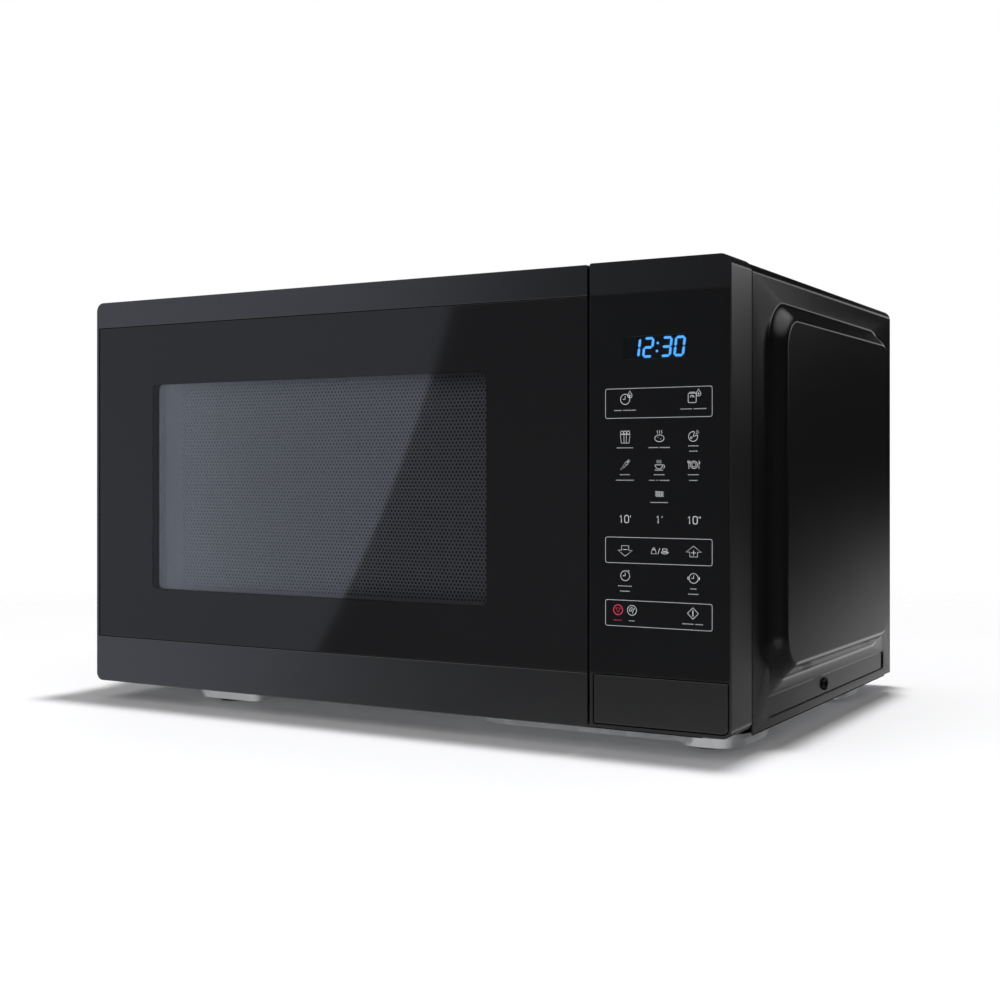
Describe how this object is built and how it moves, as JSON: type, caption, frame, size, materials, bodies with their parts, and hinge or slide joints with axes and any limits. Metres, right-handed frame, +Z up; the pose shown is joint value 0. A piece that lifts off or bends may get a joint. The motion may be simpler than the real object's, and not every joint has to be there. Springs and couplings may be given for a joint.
{
  "type": "microwave oven",
  "caption": "Countertop microwave oven: glass-fronted side-hinged door, touch panel with release button, turntable cavity, and power parts behind.",
  "frame": {"origin": "on the table, under the middle of the oven's overall width and depth", "axes": "+X to the right as seen by the user, the control side; +Y to the rear; +Z up; the door faces -Y"},
  "size_m": [0.4556, 0.357, 0.2582],
  "materials": {
    "black_paint": "gloss black powder coat with fine orange peel",
    "satin_black": "satin black moulded plastic",
    "gloss_black": "high gloss black overlay",
    "printed_glass": "toughened glass, black printed border on its back",
    "smoked_lens": "smoked clear window",
    "galvanised": "galvanised sheet steel with spangle",
    "grey_enamel": "light grey baked enamel",
    "clear_glass": "clear pressed glass",
    "clear_film": "clear film",
    "grey_plastic": "grey moulded plastic",
    "white_plastic": "natural white acetal",
    "rubber": "black moulded rubber",
    "black_screw": "black zinc screw",
    "black_switch": "black phenolic",
    "spring_steel": "bright spring wire",
    "laminations": "varnished steel laminations",
    "copper_wire": "varnished copper wire",
    "steel_case": "plated steel",
    "aluminium_can": "drawn aluminium",
    "mica": "pressed mica sheet",
    "circuit_board": "green circuit board",
    "paper_board": "brown paper circuit board"
  },
  "bodies": {
    "root": {"cabinet_wrap": "black_paint", "control_bezel": "satin_black", "cord_gland": "satin_black", "rear_spacer": "satin_black", "hv_diode": "satin_black", "touch_panel": "gloss_black", "display_lens": "smoked_lens", "rear_plate": "galvanised", "base_plate": "galvanised", "waveguide": "galvanised", "upper_hinge": "galvanised", "lower_hinge": "galvanised", "magnetron_filter_box": "galvanised", "capacitor_clamp": "galvanised", "front_plate": "grey_enamel", "cavity_shell": "grey_enamel", "oven_lamp": "clear_glass", "fan_shroud": "grey_plastic", "latch_bracket": "white_plastic", "foot_front_left": "rubber", "foot_front_right": "rubber", "foot_rear_left": "rubber", "foot_rear_right": "rubber", "side_screw_left": "black_screw", "side_screw_right": "black_screw", "rear_screw_left": "black_screw", "rear_screw_right": "black_screw", "primary_switch": "black_switch", "secondary_switch": "black_switch", "monitor_switch": "black_switch", "display_module": "black_switch", "button_spring": "spring_steel", "transformer_core": "laminations", "fan_motor": "laminations", "transformer_winding": "copper_wire", "magnetron": "steel_case", "turntable_motor": "steel_case", "hv_capacitor": "aluminium_can", "thermal_cutout": "aluminium_can", "waveguide_cover": "mica", "control_board": "circuit_board", "line_filter_board": "paper_board"},
    "door": {"door_frame": "satin_black", "door_glass": "printed_glass", "door_screen": "black_paint", "door_panel": "grey_enamel", "door_choke_cover": "grey_plastic", "door_inner_film": "clear_film", "latch_spring": "spring_steel"},
    "latch": {"latch_hooks": "white_plastic"},
    "button": {"release_button": "satin_black"},
    "lever": {"release_lever": "white_plastic"},
    "coupler": {"drive_coupler": "white_plastic"},
    "turntable": {"glass_turntable": "clear_glass"},
    "ring": {"roller_ring": "white_plastic"},
    "roller_1": {"roller_1": "white_plastic"},
    "roller_2": {"roller_2": "white_plastic"},
    "roller_3": {"roller_3": "white_plastic"},
    "fan": {"fan_blade": "white_plastic"}
  },
  "joints": [
    {"name": "door_hinge", "type": "hinge", "parent": "root", "child": "door", "pos_m": [-0.21075, -0.1645, 0.134], "axis": [0, 0, -1], "range_deg": [0, 105]},
    {"name": "button_press", "type": "slide", "parent": "root", "child": "button", "axis": [0, 1, 0], "range_m": [0, 0.005], "stiffness_N_per_m": 400, "springref_m": -0.004, "deforming": ["button_spring"]},
    {"name": "latch_lift", "type": "slide", "parent": "door", "child": "latch", "axis": [0, 0, 1], "range_m": [0, 0.005], "stiffness_N_per_m": 300, "springref_m": -0.003, "deforming": ["latch_spring"]},
    {"name": "lever_turn", "type": "hinge", "parent": "root", "child": "lever", "pos_m": [0.147, -0.1415, 0.043], "axis": [1, 0, 0], "range_deg": [0, 27.3]},
    {"name": "turntable_spin", "type": "hinge", "parent": "root", "child": "coupler", "pos_m": [-0.04525, -0.0065, 0.038], "axis": [0, 0, 1], "continuous": true},
    {"name": "turntable_lift", "type": "slide", "parent": "coupler", "child": "turntable", "axis": [0, 0, 1], "range_m": [0, 0.03]},
    {"name": "ring_roll", "type": "hinge", "parent": "root", "child": "ring", "pos_m": [-0.04525, -0.0065, 0.038], "axis": [0, 0, 1], "continuous": true},
    {"name": "roller_1_spin", "type": "hinge", "parent": "ring", "child": "roller_1", "pos_m": [0.04675, -0.0065, 0.03785], "axis": [1, 0, 0], "continuous": true},
    {"name": "roller_2_spin", "type": "hinge", "parent": "ring", "child": "roller_2", "pos_m": [-0.09125, 0.07317, 0.03785], "axis": [-0.5, 0.866, 0], "continuous": true},
    {"name": "roller_3_spin", "type": "hinge", "parent": "ring", "child": "roller_3", "pos_m": [-0.09125, -0.08617, 0.03785], "axis": [-0.5, -0.866, 0], "continuous": true},
    {"name": "fan_spin", "type": "hinge", "parent": "root", "child": "fan", "pos_m": [0.165, 0.0925, 0.095], "axis": [0, 1, 0], "continuous": true}
  ],
  "couplings": [
    {"joint": "latch_lift", "follows": "button_press", "ratio": 1},
    {"joint": "lever_turn", "follows": "button_press", "rad_per_m": 95},
    {"joint": "ring_roll", "follows": "turntable_spin", "ratio": 0.5},
    {"joint": "roller_1_spin", "follows": "turntable_spin", "ratio": -6.1333},
    {"joint": "roller_2_spin", "follows": "turntable_spin", "ratio": -6.1333},
    {"joint": "roller_3_spin", "follows": "turntable_spin", "ratio": -6.1333}
  ]
}
